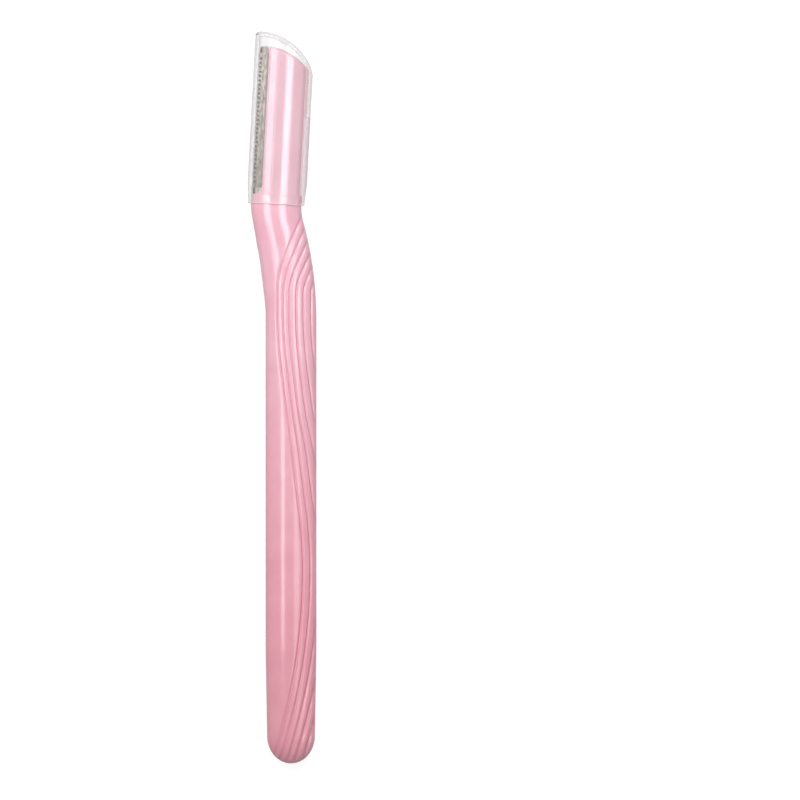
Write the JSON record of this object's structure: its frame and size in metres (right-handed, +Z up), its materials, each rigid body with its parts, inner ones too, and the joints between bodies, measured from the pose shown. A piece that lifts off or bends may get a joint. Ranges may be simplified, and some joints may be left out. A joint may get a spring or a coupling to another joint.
{
  "type": "eyebrow razor",
  "caption": "Slim eyebrow razor: oval handle with flowing grip grooves, offset neck, guarded straight blade in a leaning head, and a clear push-on cap with a slanted curved roof.",
  "frame": {"origin": "centre of the base of the box round the capped razor as it lies flat", "axes": "+Y from the butt of the handle to the cap, -X the blade side, +Z up through the broad face"},
  "size_m": [0.0144, 0.15, 0.0074],
  "materials": {
    "handle_plastic": "smooth glossy moulding",
    "blade_steel": "fine ground, bright edge",
    "guard_steel": "thin bright foil",
    "clear_plastic": "clear, polished"
  },
  "bodies": {
    "razor": {"handle": "handle_plastic", "blade": "blade_steel", "skin_guard": "guard_steel"},
    "cap": {"cap": "clear_plastic"}
  },
  "joints": [
    {"name": "cap_pull", "type": "slide", "parent": "razor", "child": "cap", "axis": [0.0532, 0.9986, 0], "range_m": [0, 0.045]}
  ]
}
